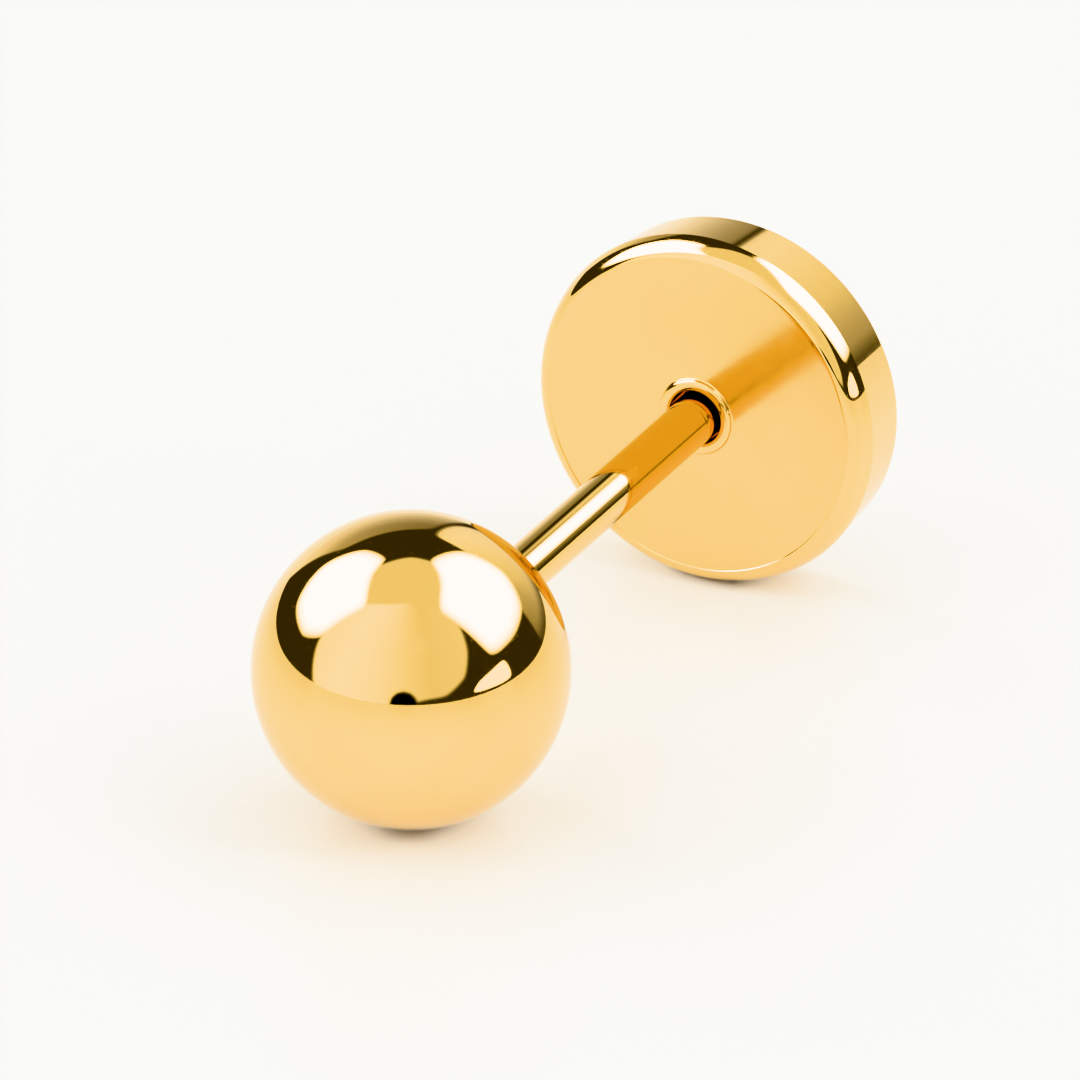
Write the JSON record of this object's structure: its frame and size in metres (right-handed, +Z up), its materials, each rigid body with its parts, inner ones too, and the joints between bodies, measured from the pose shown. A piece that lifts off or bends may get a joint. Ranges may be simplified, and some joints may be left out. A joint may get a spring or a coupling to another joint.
{
  "type": "ball stud earring",
  "caption": "Ball stud earring lying on a surface: a polished gold ball on a straight post, closed by a thick disc back that comes off the post's end.",
  "frame": {"origin": "on the surface that the stud lies on, below the middle of its length", "axes": "+Y along the post from the ball to the disc back, +Z up; the post climbs by 2.7 degrees towards the back, which stands upright"},
  "size_m": [0.006, 0.0136, 0.006],
  "materials": {
    "ball_post_gold": "mirror-polished gold",
    "disc_back_gold": "mirror-polished gold"
  },
  "bodies": {
    "stud": {"ball_post": "ball_post_gold"},
    "back": {"disc_back": "disc_back_gold"}
  },
  "joints": [
    {"name": "back_slide", "type": "slide", "parent": "stud", "child": "back", "axis": [0, 0.9989, 0.047], "range_m": [0, 0.002]}
  ]
}
